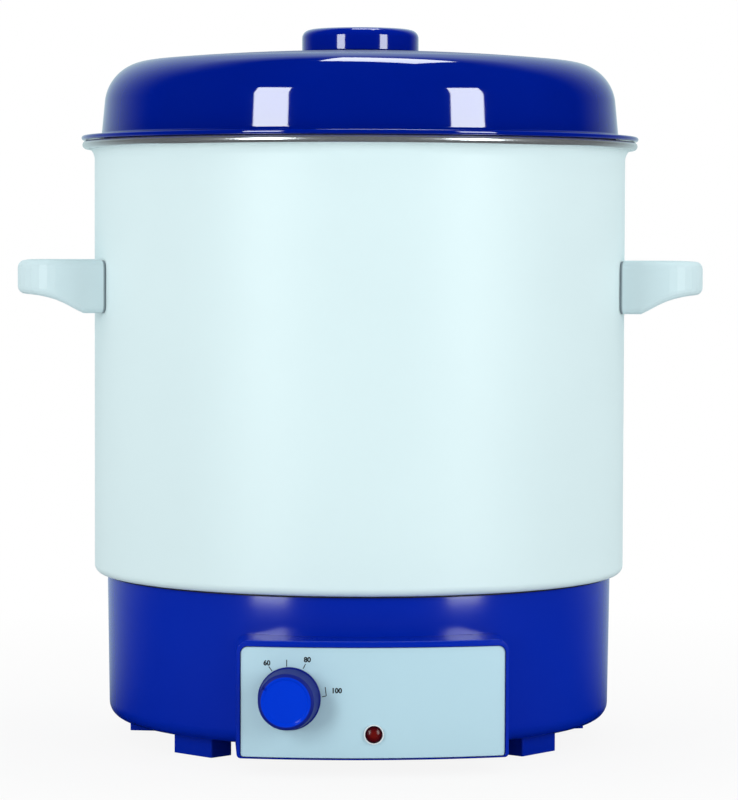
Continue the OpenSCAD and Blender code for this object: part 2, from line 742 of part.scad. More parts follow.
module fascia_plate() {
    color(panel_grey) difference() {
        bowed_plate(fascia_back_r + 0.1, fascia_front_r, 0);
        panel_holes();
    }
}
module base_gasket() {
    color(black_rubber) translate([0, 0, base_top_z]) difference() {
        cylinder(r = gasket_outer_r, h = gasket_t);
        translate([0, 0, -over]) cylinder(r = gasket_outer_r - gasket_w, h = gasket_t + 2 * over);
    }
}

// Feet stand evenly round the rim, outside the field of the control box
function foot_angles() =
    [for (i = [0:foot_n - 1]) -90 + foot_angle + (360 - 2 * foot_angle) * i / (foot_n - 1)];
tie_head_d = tie_d * 1.8;
collar_r = 15;  // the ribs meet in a round collar
module bottom_cover() {
    color(base_blue) difference() {
        union() {
            translate([0, 0, base_z]) cylinder(r = cover_r, h = cover_t);
            for (a = foot_angles()) rotate([0, 0, a]) translate([foot_outer_r - foot_l / 2, -foot_w / 2, 0])
                linear_extrude(height = foot_h + 0.5) round_rect(foot_l, foot_w, foot_edge_r);
            for (a = [0:60:300]) rotate([0, 0, a]) translate([collar_r - rib_t / 2, -rib_t / 2, cover_top_z - 0.5])
                cube([flange_inner_r - collar_r - 3, rib_t, rib_h + 0.5]);
            translate([0, 0, cover_top_z - 0.5]) difference() {
                cylinder(r = collar_r, h = rib_h + 2);
                translate([0, 0, 0.5]) cylinder(r = collar_r - rib_t, h = rib_h + 3);
            }
            at_tie_screws() translate([0, 0, base_z + 0.5])
                cylinder(d = pillar_d, h = pillar_top_z - base_z - 0.5);
        }
        at_tie_screws() {
            translate([0, 0, base_z - over]) cylinder(d = tie_head_d + 1.6, h = pillar_recess + over);
            translate([0, 0, base_z]) cylinder(d = tie_d + hole_fit, h = pillar_top_z);
        }
        for (field = [30:60:330], i = [0:vent_n - 1]) rotate([0, 0, field])
            translate([60 + 2.3 * vent_w * i, 0, base_z - over])
                linear_extrude(height = cover_t + 2 * over) slot(vent_w, vent_l);
    }
}
module tie_screws() {
    color(steel) at_tie_screws() translate([0, 0, tie_head_z - 0.1])
        pan_screw(tie_d, pot_z - tie_head_z - 2, tie_head_d, 4);
}
module pot_bosses() {
    color(steel) at_tie_screws() translate([0, 0, boss_z]) hex_nut(tie_d * 2, tie_d, boss_h);
}

// The knob is a hollow cup with a hub for the shaft's D and a notch for its pointer
module d_shape(d, flat) {
    difference() {
        circle(d = d);
        translate([d / 2 - flat, -d]) square([d, 2 * d]);
    }
}
module control_knob() {
    r = knob_d / 2;
    face_r = knob_face_d / 2;
    front = knob_front;
    color(knob_blue) on_front(knob_turn, knob_z) difference() {
        rotate_extrude() polygon(concat(
            [[0, knob_back + 1], [0, front - knob_dish], [face_r - 3, front - knob_dish]],
            [[face_r - 1.8, front]],
            arc([face_r - 1, front - knob_shoulder_r], knob_shoulder_r, 90, 8, 6),
            [[r - 0.8, knob_back + 1.6], [r, knob_back + 1.2], [r, knob_back], [r - knob_wall, knob_back]],
            [[face_r - knob_wall, front - knob_wall - 1], [knob_hub_r, front - knob_wall - 1]],
            [[knob_hub_r, knob_back + 1]]));
        translate([0, 0, knob_back]) linear_extrude(height = shaft_end + fit - knob_back)
            d_shape(shaft_d + hole_fit, shaft_flat);
        rotate([0, 0, -pointer_angle]) translate([-0.9, face_r - 2.2, front - 1.3]) cube([1.8, 6, 3]);
    }
}
module thermostat_shaft() {
    color(steel) on_front(knob_turn, knob_z) {
        translate([0, 0, shaft_start]) cylinder(d = shaft_d, h = knob_back + 1 - shaft_start);
        translate([0, 0, knob_back + 0.9]) linear_extrude(height = shaft_end - knob_back - 0.9)
            d_shape(shaft_d, shaft_flat);
    }
}
module thermostat() {
    color(phenolic_brown) on_front(knob_turn, knob_z) difference() {
        union() {
            translate([-thermostat_w / 2 - 2, -12, thermostat_face - bracket_t])
                cube([thermostat_w + 4, 24, bracket_t]);
            translate([0, -thermostat_h / 2, thermostat_face - bracket_t - thermostat_l])
                linear_extrude(height = thermostat_l) round_rect(thermostat_w, thermostat_h, 3);
            translate([0, 0, thermostat_face - 0.5]) cylinder(d = bush_d, h = plate_face - thermostat_face);
        }
        translate([0, 0, shaft_start - 1]) cylinder(d = shaft_d + shaft_play, h = 40);
        for (side = [-1, 1]) translate([side * thermostat_screw_x, 0, thermostat_face - bracket_t - 3])
            cylinder(d = small_screw_d + hole_fit, h = 10);
    }
}
module thermostat_screws() {
    color(steel) on_front(knob_turn, knob_z) for (side = [-1, 1])
        translate([side * thermostat_screw_x, 0, plate_face + 0.05]) rotate([180, 0, 0])
            pan_screw(small_screw_d, plate_face - thermostat_face + bracket_t + 2, 6.6, 1.6);
}
// A bulb against the hot plate and the thin tube that joins it to the thermostat
capillary_points = [[-51.7, 0.5, 102.3], [-54, -4, 101], [-57, -12, 95], [-58, -24, 94], [-56, -45, 94],
    [-52, -75, 94], [-48, -96, 94.6], [-49, -112, 94], [-50, -134, 87], [-49.5, -152, 79],
    [-48.6, -164, 73], [-48.1, -169, 67.5], [-48, -169.5, 63.9]];
module thermostat_sensor() {
    color(brass) {
        rotate([0, 0, bulb_angle]) translate([bulb_r, 0, bulb_z]) rotate([90, 0, 0])
            cylinder(d = bulb_d, h = bulb_l, center = true);
        tube(smooth_path(capillary_points, 2), capillary_d);
    }
}
module sensor_clip() {
    in_r = bulb_d / 2 + 0.15;
    color(steel) rotate([0, 0, bulb_angle]) translate([bulb_r, 7, bulb_z]) rotate([90, 0, 0])
        linear_extrude(height = 14) difference() {
            union() {
                circle(r = in_r + 0.8);
                translate([-in_r - 7, bulb_d / 2 - 0.9]) square([2 * in_r + 14, 0.8]);
            }
            circle(r = in_r);
            translate([-in_r, 0]) square([2 * in_r, bulb_d]);
        }
}

module lamp_bezel() {
    color(steel) on_front(0, lamp_z) translate([0, 0, plate_face + 0.05]) difference() {
        cylinder(d = bezel_d, h = bezel_h);
        translate([0, 0, -over]) cylinder(d = lens_d + fit, h = bezel_h + 2 * over);
    }
}
module lamp_lens() {
    r = lens_d / 2;
    rim = 0.8;
    dome_r = (r * r + pow(lens_dome_h - rim, 2)) / 2 / (lens_dome_h - rim);
    color(lens_red) on_front(0, lamp_z) {
        translate([0, 0, plate_face + 0.05]) rotate_extrude() polygon(concat(
            [[0, 0], [r, 0]],
            [for (i = [8:-1:0]) let (x = r * i / 8) [x, rim + sqrt(dome_r * dome_r - x * x)
                - dome_r + lens_dome_h - rim]]));
        translate([0, 0, wall_back - 4]) cylinder(d = lamp_barrel_d, h = plate_face - wall_back + 4.1);
    }
}
module lamp_socket() {
    color(phenolic_brown) on_front(0, lamp_z) translate([0, 0, wall_back - 0.1 - lamp_socket_l]) difference() {
        cylinder(d = lamp_body_d, h = lamp_socket_l);
        translate([0, 0, lamp_socket_l - 5]) cylinder(d = lamp_barrel_d + hole_fit, h = 6);
    }
}

module stud_hole(z, t) {
    translate([0, 0, z - over]) cylinder(d = stud_d + hole_fit, h = t + 2 * over);
}
module heater_plate() {
    color(aluminium) difference() {
        translate([0, 0, heater_z]) cylinder(r = heater_plate_r, h = heater_plate_t);
        stud_hole(heater_z, heater_plate_t);
    }
}
// An open ring whose two ends bend outwards and run side by side towards the front
element_path =
    let (
        start = -90 + element_gap,
        bend = (element_r + element_bend_r) * [cos(start), sin(start)],
        end_x = bend.x - element_bend_r,
        half = concat(
            [for (y = [-element_end_l, -element_end_l / 2]) [end_x, bend.y + y]],
            arc(bend, element_bend_r, 180, start + 180, 6),
            [for (i = [1:18]) element_r * [cos(start + (90 - start) * i / 18), sin(start + (90 - start) * i / 18)]]))
    concat(half, [for (i = [len(half) - 2:-1:0]) [-half[i].x, half[i].y]]);
module heating_element() {
    color(steel) translate([0, 0, element_z]) {
        tube([for (p = element_path) [p.x, p.y, 0]], element_d, 12);
        for (p = [element_path[0], element_path[len(element_path) - 1]])
            translate([p.x, p.y + 1, 0]) rotate([90, 0, 0]) cylinder(d = element_d * 0.4, h = 9);
    }
}
module element_clamp() {
    reach = element_r + element_d / 2 + clamp_past;
    color(steel) difference() {
        translate([0, 0, clamp_z]) linear_extrude(height = clamp_t) {
            circle(r = clamp_arm_w);
            for (a = clamp_angles) rotate(a) translate([0, -clamp_arm_w / 2]) square([reach, clamp_arm_w]);
        }
        stud_hole(clamp_z, clamp_t);
    }
}
module heater_stud() {
    color(steel) translate([0, 0, stud_low_z]) cylinder(d = stud_d, h = pot_z - stud_low_z);
}
module stud_nuts() {
    color(steel) for (z = [shield_top_z, shield_z - nut_h])
        translate([0, 0, z]) hex_nut(stud_d + 4, stud_d, nut_h);
}
module heat_shield() {
    color(aluminium) difference() {
        rotate_extrude() polygon([
            [0, shield_z], [shield_r - 3, shield_z], [shield_r, shield_z + 2], [shield_r, shield_edge_z],
            [shield_r - shield_t, shield_edge_z], [shield_r - shield_t, shield_z + 2.2],
            [shield_r - 3.4, shield_top_z], [0, shield_top_z]]);
        stud_hole(shield_z, shield_t);
        for (a = [0:60:300]) rotate([0, 0, a]) translate([48, 0, shield_z - over])
            cylinder(d = 10, h = shield_t + 2 * over);
    }
}
module thermal_cutout() {
    color(phenolic_brown) rotate([0, 0, cutout_angle]) translate([cutout_r, 0, heater_z - cutout_h]) {
        cylinder(d = cutout_d, h = cutout_h);
        for (side = [-1, 1]) translate([-3.15, side * 4 - 0.4, -4.5]) cube([6.3, 0.8, 4.6]);
    }
}

// Three poles with a wire hole and two screws each
module at_poles() {
    for (k = [-1, 0, 1]) translate([k * 15, block_y, cover_top_z]) children();
}
module terminal_block() {
    w = block_size.x;
    l = block_size.y;
    h = block_size.z;
    color(enamel_white) difference() {
        union() {
            translate([-w / 2, block_y - l / 2, cover_top_z]) cube([w, l, 3]);
            at_poles() translate([-6, -l / 2, 0]) cube([12, l, h]);
        }
        at_poles() {
            translate([0, l / 2 + over, 8]) rotate([90, 0, 0]) cylinder(d = lead_d + 1, h = l + 2 * over);
            for (side = [-1, 1]) translate([0, side * 5.5, 10]) cylinder(d = 5, h = h);
        }
    }
}
module terminal_screws() {
    color(brass) at_poles() for (side = [-1, 1]) translate([0, side * 5.5, 10.2]) cylinder(d = 4.6, h = 5);
}
// Rubber bush in the back wall, for the supply cord
module cord_bush() {
    bore = bush_bore_d / 2;
    neck = bush_neck_d / 2;
    flange = bush_flange_d / 2;
    inner = -base_wall - 0.6;
    color(black_rubber) translate([0, base_low_r + 0.6, bush_z]) rotate([-90, 0, 0]) rotate_extrude() polygon([
        [bore, inner - 4], [neck - 0.5, inner - 4], [neck + 1.5, inner], [neck, inner], [neck, 0],
        [flange, 0], [flange, 2], [neck + 1, 3], [bore + 1.5, 3 + bush_nose_l], [bore, 3 + bush_nose_l]]);
}
// Insulated leads between the terminal block, thermostat, cut-out, lamp and element
lead_points = [
    [[-15, 96, 23.8], [-16, 84, 25], [-30, 58, 32], [-46, 20, 36], [-48, -40, 38], [-45, -100, 43],
        [-42, -140, 48], [-41, -159.2, 50]],
    [[-46, -158.3, 58], [-45, -150, 62], [-38, -141, 76], [-28, -133, 92], [-19, -130, 100],
        [-17.5, -126, 101.3], [-17.5, -120.4, 101.3]],
    [[0, 96, 23.8], [2, 86, 27], [30, 92, 50], [62, 94, 78], [67, 86, 92], [60, 70, 94.8],
        [44, 54, 93.6], [33, 40, 93.6], [31, 30.5, 94], [34, 25.1, 94.4]],
    [[38.8, 16.8, 94.4], [42, 11, 94], [57, -10, 93.2], [64, -42, 93.2], [57, -78, 93.6], [45, -98, 95.4],
        [31, -118, 99], [22, -130, 101], [17.6, -127, 101.3], [17.5, -120.4, 101.3]],
    [[15, 96, 23.8], [17, 82, 26], [26, 40, 30], [26, -40, 30], [22, -100, 28], [18, -132, 27],
        [5, -156, 25.7], [3, -170.4, 25.5]],
    [[-3, -170.4, 25.5], [-4, -160, 26.5], [-16, -148, 33], [-30, -146, 39], [-37, -152, 42],
        [-38, -159.5, 42]]];
module leads() {
    color([0.75, 0.7, 0.62]) for (p = lead_points) tube(smooth_path(p, 2), lead_d);
}

pot();
rim_band();
rack();
handle_left();
handle_right();
handle_screws();
handle_washers();
lid();
lid_knob();
lid_knob_screw();
lid_knob_washer();
base_housing();
base_gasket();
bottom_cover();
tie_screws();
pot_bosses();
fascia_plate();
control_knob();
thermostat_shaft();
thermostat();
thermostat_screws();
thermostat_sensor();
sensor_clip();
lamp_lens();
lamp_bezel();
lamp_socket();
heater_plate();
heating_element();
element_clamp();
heater_stud();
stud_nuts();
heat_shield();
thermal_cutout();
terminal_block();
terminal_screws();
cord_bush();
leads();
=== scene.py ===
"""Looks of a hot pack heater: enamelled pot and lid, moulded base, dial print, lamp and studio."""
import json
import math

import bmesh
import bpy
from mathutils import Matrix, Vector


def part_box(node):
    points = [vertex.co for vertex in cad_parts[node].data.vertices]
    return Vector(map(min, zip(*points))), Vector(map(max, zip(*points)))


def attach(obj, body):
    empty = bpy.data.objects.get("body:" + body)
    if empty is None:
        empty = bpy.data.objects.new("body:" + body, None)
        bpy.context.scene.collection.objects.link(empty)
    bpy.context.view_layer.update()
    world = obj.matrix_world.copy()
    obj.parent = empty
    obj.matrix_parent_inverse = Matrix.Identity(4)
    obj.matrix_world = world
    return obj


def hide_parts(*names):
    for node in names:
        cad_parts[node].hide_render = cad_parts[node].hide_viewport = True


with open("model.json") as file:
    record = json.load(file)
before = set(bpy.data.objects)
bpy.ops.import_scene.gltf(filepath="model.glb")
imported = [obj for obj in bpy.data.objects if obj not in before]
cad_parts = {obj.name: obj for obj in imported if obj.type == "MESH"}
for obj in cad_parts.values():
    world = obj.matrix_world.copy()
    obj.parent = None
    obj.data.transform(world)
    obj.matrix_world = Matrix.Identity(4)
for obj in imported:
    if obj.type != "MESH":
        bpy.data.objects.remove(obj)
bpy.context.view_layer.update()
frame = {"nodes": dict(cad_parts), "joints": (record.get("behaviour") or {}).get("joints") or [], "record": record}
NODES = frame["nodes"]
MM = 0.001

# Camera, in metres and degrees: a little above the handles and left of the front
CAMERA_DISTANCE = 2.320
CAMERA_AZIMUTH = -2.85
CAMERA_HEIGHT = 0.332
CAMERA_PITCH = -2.705
CAMERA_YAW = 0.16
CAMERA_ROLL = 0.18
CAMERA_CLIP = 50
FOCAL_PX = 3480
IMAGE_LONG_PX = 800
SENSOR_MM = 36

# The front panel is part of a cylinder whose axis stands on Y = PANEL_AXIS_Y
PANEL_R = 0.334
PANEL_AXIS_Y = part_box("fascia_plate")[0][1] + PANEL_R
KNOB_JOINT = next(j for j in frame["joints"] if j["name"] == "knob_turn")
KNOB_CENTRE = Vector(KNOB_JOINT["pos_m"])
KNOB_ALONG = math.asin(KNOB_CENTRE.x / PANEL_R) * PANEL_R

# Painted shade: a dark line on the handles where their root meets the pot, between these distances outside the
# pot's wall
POT_R = 0.1762
ROOT_SHADE_FROM = 0.9 * MM
ROOT_SHADE_TO = 1.9 * MM
ROOT_SHADE_LEVEL = 0.75

# The lid's crown gets duller inward between these radii
DULL_FROM = 0.132
DULL_TO = 0.156
DULL_ROUGHNESS = 0.3

# Radius of the control knob's bright face, and half the width of its border
FACE_R = 0.0154
FACE_BORDER = 0.25 * MM
FACE_ROUGHNESS = 0.12
SKIRT_ROUGHNESS = 0.5

# The base's wall leans in by LEAN between these heights, in the shading
LEAN_FROM = 0.0895
LEAN_TO = 0.107
LEAN = 0.00062

# Settings that all coated surfaces share
TINT_SPREAD = 0.2
CLOUD_DETAIL = 4
GRAIN_DETAIL = 2
GLOSS_SCALE = 3
COAT_ROUGHNESS = 0.02
COAT_IOR = 1.6
BEVEL_SAMPLES = 4

# Two near tints, least and most roughness, grain per metre, its depth in metres, and what differs
METAL = {"metal": 1.0}
DRAWN = {"metal": 1.0, "stretch": (1, 1, 6)}
POLISHED = {"metal": 0.84, "stretch": (1, 1, 6)}
COATS = {
    "white_enamel": ((218, 238, 241), (220, 240, 243), (0.42, 0.5), 140, 4e-6, {}),
    "lid_knob_plastic": ((0, 28, 154), (0, 31, 160), (0.06, 0.1), 200, 2e-6, {"coat": 0.6, "edge": 0.3}),
    "fascia_print": ((186, 219, 232), (189, 222, 235), (0.36, 0.42), 1500, 3e-6, {"edge": 0.3}),
    "polished_steel": ((222, 226, 230), (232, 235, 238), (0.18, 0.26), 400, 4e-6, POLISHED),
    "stainless_sheet": ((178, 180, 182), (190, 192, 194), (0.28, 0.38), 500, 8e-6, DRAWN),
    "bright_steel": ((182, 184, 188), (196, 197, 199), (0.25, 0.35), 700, 8e-6, DRAWN),
    "seal_rubber": ((18, 20, 26), (26, 28, 34), (0.5, 0.62), 900, 2e-5, {}),
    "bush_rubber": ((24, 24, 26), (32, 32, 34), (0.55, 0.66), 900, 2e-5, {}),
    "phenolic": ((44, 36, 33), (56, 46, 40), (0.35, 0.5), 700, 2e-5, {}),
    "sensor_copper": ((186, 116, 82), (204, 134, 98), (0.25, 0.4), 500, 6e-6, METAL),
    "bezel_plastic": ((222, 232, 236), (230, 238, 241), (0.18, 0.26), 900, 4e-6, {}),
    "cast_aluminium": ((188, 190, 192), (202, 203, 205), (0.4, 0.55), 260, 4e-5, METAL),
    "shield_aluminium": ((198, 200, 202), (212, 213, 214), (0.22, 0.34), 500, 8e-6, DRAWN),
    "element_sheath": ((78, 72, 70), (104, 94, 88), (0.4, 0.6), 300, 2e-5, METAL),
    "terminal_ceramic": ((226, 222, 212), (236, 232, 222), (0.3, 0.42), 600, 1e-5, {}),
    "terminal_brass": ((196, 162, 92), (214, 182, 112), (0.25, 0.38), 700, 8e-6, METAL),
    "lead_insulation": ((196, 186, 166), (208, 198, 178), (0.5, 0.62), 900, 2e-5, {}),
    "print_ink": ((6, 10, 18), (14, 18, 28), (0.45, 0.55), 3000, 2e-6, {}),
}

# Print on the dial, in millimetres from the knob's centre, along the bow and up
INK_LIFT = 0.00006
TICK_W = 0.5
TICKS = {
    "tick_60": [(-12.72, 19.56), (-10.6, 16.76)],
    "tick_mid": [(-1.59, 23.97), (-1.58, 19.71)],
    "tick_80": [(10.13, 21.48), (8.53, 18.5)],
    "bracket_100": [(22.26, 7.4), (22.9, 1.9), (20.3, 1.32)],
}
NUMBERS = {
    "number_60": ("60", -13.9, 21.6),
    "number_80": ("80", 11.2, 24.0),
    "number_100": ("100", 29.3, 5.0),
}
NUMBER_SIZE = 4.3
NUMBER_BOLD = 0.17
NUMBER_STEPS = 6

# The lid's profile in millimetres, the same sizes as its solid, cut finer for clean reflections
LID_TOP_Z = 453.1
LID_H = 58.8
LID_SHEET = 1.2
LID_CROWN_R = 1471
LID_SHOULDER_R = 29
LID_WALL_R = 171.2
LID_DRAFT = 1.9
LID_FLANGE_Z = 395.8
LID_FLANGE_SLOPE = 8.4
LID_EDGE_C = 183.125
LID_EDGE_R = 1.5
LID_EDGE_OVERLAP = 25
LID_LIP_Z = 390
LID_LIP_ROUND = 0.3
LID_LIP_DROP = 0.4
LID_FOOT_R = 1.6
LID_FOOT_LIFT = 0.9
LID_HOLE_R = 2.8
LID_STEPS = 288
LID_CROWN_STEPS = 16
LID_SHOULDER_STEPS = 40
LID_EDGE_STEPS = 24
LID_FOOT_STEPS = 8
LID_SHARP = 38

# What glossy surfaces mirror: shares of the direction behind the object and upward, and its level
BACK_FROM = 0.3
BACK_TO = 0.97
BACK_LEVEL = 0.72
HIGH_FROM = 0.72
HIGH_TO = 0.88
FLOOR_FROM = 0.0
MIRROR_TINT = (0.76, 0.97, 1, 1)

# Studio: two tall strip lamps in front and a soft box overhead, in metres and degrees
STRIPS = {"strip_left": (-38.2 + CAMERA_AZIMUTH, 0.545), "strip_right": (46.4 + CAMERA_AZIMUTH, 0.54)}
STRIP_DISTANCE = 2.0
STRIP_BOTTOM = 0.06
STRIP_TOP = 1.3
STRIP_RADIANCE = 7.9
TOP_PLACE = (0.125, 0.29, 1.6)
TOP_TARGET = (0, 0, 0.4)
TOP_SIZE = (0.5, 0.37)
TOP_RADIANCE = 6.0
LAMP_TINT = (0.96, 1, 1)

# Light from all round, from WORLD_FRONT in front to WORLD_BACK behind
WORLD_FRONT = 0.22
WORLD_BACK = 1.1
WORLD_SPAN = (-0.6, 0.0)

# Floor: its shadow shows most inside SHADOW_FROM and fades to plain white at SHADOW_TO
FLOOR_ALBEDO = 0.6
FLOOR_ROUGHNESS = 0.9
FLOOR_HALF = 6
FLOOR_Z = -0.0004
SHADOW_FROM = 0.25
SHADOW_TO = 0.8
SHADOW_WHITE = 0.9


def make_camera():
    """The photograph's viewpoint: far off, pitched slightly down and hardly rolled."""
    data = bpy.data.cameras.new("camera")
    data.sensor_width = SENSOR_MM
    data.lens = FOCAL_PX / IMAGE_LONG_PX * SENSOR_MM
    data.clip_end = CAMERA_CLIP
    camera = bpy.data.objects.new("camera", data)
    azimuth = math.radians(CAMERA_AZIMUTH)
    x = CAMERA_DISTANCE * math.sin(azimuth)
    y = -CAMERA_DISTANCE * math.cos(azimuth)
    camera.location = (x, y, CAMERA_HEIGHT)
    turn = Matrix.Rotation(azimuth - math.radians(CAMERA_YAW), 4, "Z")
    tilt = Matrix.Rotation(math.radians(90 + CAMERA_PITCH), 4, "X")
    roll = Matrix.Rotation(math.radians(CAMERA_ROLL), 4, "Z")
    camera.matrix_world = Matrix.Translation(camera.location) @ turn @ tilt @ roll
    bpy.context.collection.objects.link(camera)
    bpy.context.scene.camera = camera


def linear(v):
    """One 8-bit sRGB channel as a linear value."""
    if v <= 10:
        return v / 255 / 12.92
    return ((v / 255 + 0.055) / 1.055) ** 2.4


def srgb(r, g, b):
    """An 8-bit sRGB colour as linear RGBA."""
    return (linear(r), linear(g), linear(b), 1)


def new_material(name):
    mat = bpy.data.materials.new(name)
    mat.use_nodes = True
    tree = mat.node_tree
    return mat, tree, tree.nodes["Principled BSDF"]


def object_coords(tree):
    return tree.nodes.new("ShaderNodeTexCoord").outputs["Object"]


def feed(tree, socket, value):
    """Gives an input a link from another node, or a constant."""
    if isinstance(value, bpy.types.NodeSocket):
        tree.links.new(value, socket)
    elif value is not None:
        socket.default_value = value


def vector_op(tree, operation, first, second=None):
    node = tree.nodes.new("ShaderNodeVectorMath")
    node.operation = operation
    feed(tree, node.inputs[0], first)
    feed(tree, node.inputs[1], second)
    return node.outputs["Value" if operation == "LENGTH" else "Vector"]


def math_op(tree, operation, first, second):
    node = tree.nodes.new("ShaderNodeMath")
    node.operation = operation
    feed(tree, node.inputs[0], first)
    feed(tree, node.inputs[1], second)
    return node.outputs[0]


def map_range(tree, value, source, target, smooth=False):
    """Maps the source span to the target span, and holds its ends outside it."""
    node = tree.nodes.new("ShaderNodeMapRange")
    if smooth:
        node.interpolation_type = "SMOOTHSTEP"
    node.inputs["From Min"].default_value = source[0]
    node.inputs["From Max"].default_value = source[1]
    node.inputs["To Min"].default_value = target[0]
    node.inputs["To Max"].default_value = target[1]
    tree.links.new(value, node.inputs["Value"])
    return node.outputs["Result"]


def component(tree, vector, axis):
    split = tree.nodes.new("ShaderNodeSeparateXYZ")
    tree.links.new(vector, split.inputs[0])
    return split.outputs[axis]


def axis_distance(tree):
    """Distance from the pot's upright axis."""
    flat = vector_op(tree, "MULTIPLY", object_coords(tree), (1, 1, 0))
    return vector_op(tree, "LENGTH", flat)


def noise(tree, scale, detail, stretch=(1, 1, 1)):
    """Noise over the object's own coordinates, in features per metre."""
    mapping = tree.nodes.new("ShaderNodeMapping")
    mapping.inputs["Scale"].default_value = stretch
    texture = tree.nodes.new("ShaderNodeTexNoise")
    texture.inputs["Scale"].default_value = scale
    texture.inputs["Detail"].default_value = detail
    tree.links.new(object_coords(tree), mapping.inputs["Vector"])
    tree.links.new(mapping.outputs["Vector"], texture.inputs["Vector"])
    return texture.outputs["Fac"]


def ramp_colour(tree, bsdf, fac, stops):
    """Drives the base colour from one stop to the other, each a position and a colour."""
    ramp = tree.nodes.new("ShaderNodeValToRGB")
    for element, (position, colour) in zip(ramp.color_ramp.elements, stops):
        element.position = position
        element.color = colour
    tree.links.new(fac, ramp.inputs["Fac"])
    tree.links.new(ramp.outputs["Color"], bsdf.inputs["Base Color"])


def vary_roughness(tree, bsdf, fac, low, high):
    tree.links.new(map_range(tree, fac, (0, 1), (low, high)), bsdf.inputs["Roughness"])


def tint_over(tree, bsdf, fac, colour):
    """Lays a colour over the base colour, by fac."""
    mix = tree.nodes.new("ShaderNodeMix")
    mix.data_type = "RGBA"
    mix.inputs[7].default_value = colour
    tree.links.new(fac, mix.inputs[0])
    tree.links.new(bsdf.inputs["Base Color"].links[0].from_socket, mix.inputs[6])
    tree.links.new(mix.outputs[2], bsdf.inputs["Base Color"])


def add_bump(tree, bsdf, fac, distance, edge=0.0):
    """A fine relief, over edges that are rounded in the shading."""
    bump = tree.nodes.new("ShaderNodeBump")
    bump.inputs["Distance"].default_value = distance
    tree.links.new(fac, bump.inputs["Height"])
    if edge:
        bevel = tree.nodes.new("ShaderNodeBevel")
        bevel.samples = BEVEL_SAMPLES
        bevel.inputs["Radius"].default_value = edge * MM
        tree.links.new(bevel.outputs["Normal"], bump.inputs["Normal"])
    tree.links.new(bump.outputs["Normal"], bsdf.inputs["Normal"])


def coated(name, tint_a, tint_b, rough, grain, grain_depth, tint_scale=9, ior=1.5, coat=0.0, metal=0.0,
           stretch=(1, 1, 1), edge=0.0):
    """A surface with two near tints in clouds, uneven gloss, and a fine relief."""
    mat, tree, bsdf = new_material(name)
    bsdf.inputs["IOR"].default_value = ior
    bsdf.inputs["Metallic"].default_value = metal
    bsdf.inputs["Coat Weight"].default_value = coat
    bsdf.inputs["Coat Roughness"].default_value = COAT_ROUGHNESS
    bsdf.inputs["Coat IOR"].default_value = COAT_IOR
    stops = [(0.5 - TINT_SPREAD, srgb(*tint_a)), (0.5 + TINT_SPREAD, srgb(*tint_b))]
    ramp_colour(tree, bsdf, noise(tree, tint_scale, CLOUD_DETAIL, stretch), stops)
    vary_roughness(tree, bsdf, noise(tree, tint_scale * GLOSS_SCALE, CLOUD_DETAIL, stretch), *rough)
    add_bump(tree, bsdf, noise(tree, grain, GRAIN_DETAIL, stretch), grain_depth, edge)
    return mat, tree, bsdf


def make_materials():
    materials = {}
    for name, (tint_a, tint_b, rough, grain, depth, extra) in COATS.items():
        materials[name] = coated(name, tint_a, tint_b, rough, grain, depth, **extra)[0]
    for make in (blue_enamel, base_plastic, knob_plastic, handle_plastic, red_lens):
        materials[make.__name__] = make()
    return materials


def handle_plastic():
    """Pale moulded plastic with a painted shade line where the handle's root meets the pot."""
    mat, tree, bsdf = coated("handle_plastic", (207, 229, 234), (210, 232, 237), (0.4, 0.48), 900, 6e-6,
                             edge=0.6)
    # painted shade: the colour darkens towards the pot's wall, standing in for the shadow in the gap at the
    # handle's root
    near = map_range(tree, axis_distance(tree), (POT_R + ROOT_SHADE_FROM, POT_R + ROOT_SHADE_TO), (ROOT_SHADE_LEVEL, 0),
                     smooth=True)
    tint_over(tree, bsdf, near, srgb(70, 84, 96))
    return mat


def blue_enamel():
    """Glassy enamel, duller from handling on the crown round the knob."""
    mat, tree, bsdf = coated("blue_enamel", (0, 25, 136), (0, 28, 144), (0.03, 0.06), 70, 3e-6, ior=1.88)
    dull = map_range(tree, axis_distance(tree), (DULL_FROM, DULL_TO), (DULL_ROUGHNESS, 0), smooth=True)
    glossy = bsdf.inputs["Roughness"].links[0].from_socket
    tree.links.new(math_op(tree, "ADD", glossy, dull), bsdf.inputs["Roughness"])
    return mat


def knob_plastic():
    """A bright face in a darker skirt."""
    mat, tree, bsdf = coated("knob_plastic", (0, 55, 212), (0, 59, 220), (0.1, 0.14), 1100, 2e-6, edge=0.2)
    offset = vector_op(tree, "SUBTRACT", object_coords(tree), KNOB_CENTRE)
    along = vector_op(tree, "PROJECT", offset, KNOB_JOINT["axis"])
    reach = vector_op(tree, "LENGTH", vector_op(tree, "SUBTRACT", offset, along))
    skirt = map_range(tree, reach, (FACE_R - FACE_BORDER, FACE_R + FACE_BORDER), (0, 1))
    bsdf.inputs["Specular IOR Level"].default_value = 0.2
    vary_roughness(tree, bsdf, skirt, FACE_ROUGHNESS, SKIRT_ROUGHNESS)
    tint_over(tree, bsdf, skirt, srgb(0, 24, 128))
    return mat


def base_plastic():
    """Glossy moulded plastic, whose wall leans in a little over its top 2 cm."""
    mat, tree, bsdf = coated("base_plastic", (0, 37, 168), (0, 40, 174), (0.14, 0.18), 900, 3e-6, edge=0.5)
    bump = next(n for n in tree.nodes if n.bl_idname == "ShaderNodeBump")
    rise = map_range(tree, component(tree, object_coords(tree), "Z"), (LEAN_FROM, LEAN_TO), (0, 1))
    lean = tree.nodes.new("ShaderNodeBump")
    lean.invert = True
    lean.inputs["Distance"].default_value = LEAN
    tree.links.new(math_op(tree, "POWER", rise, 2), lean.inputs["Height"])
    tree.links.new(bump.inputs["Normal"].links[0].from_socket, lean.inputs["Normal"])
    tree.links.new(lean.outputs["Normal"], bump.inputs["Normal"])
    return mat


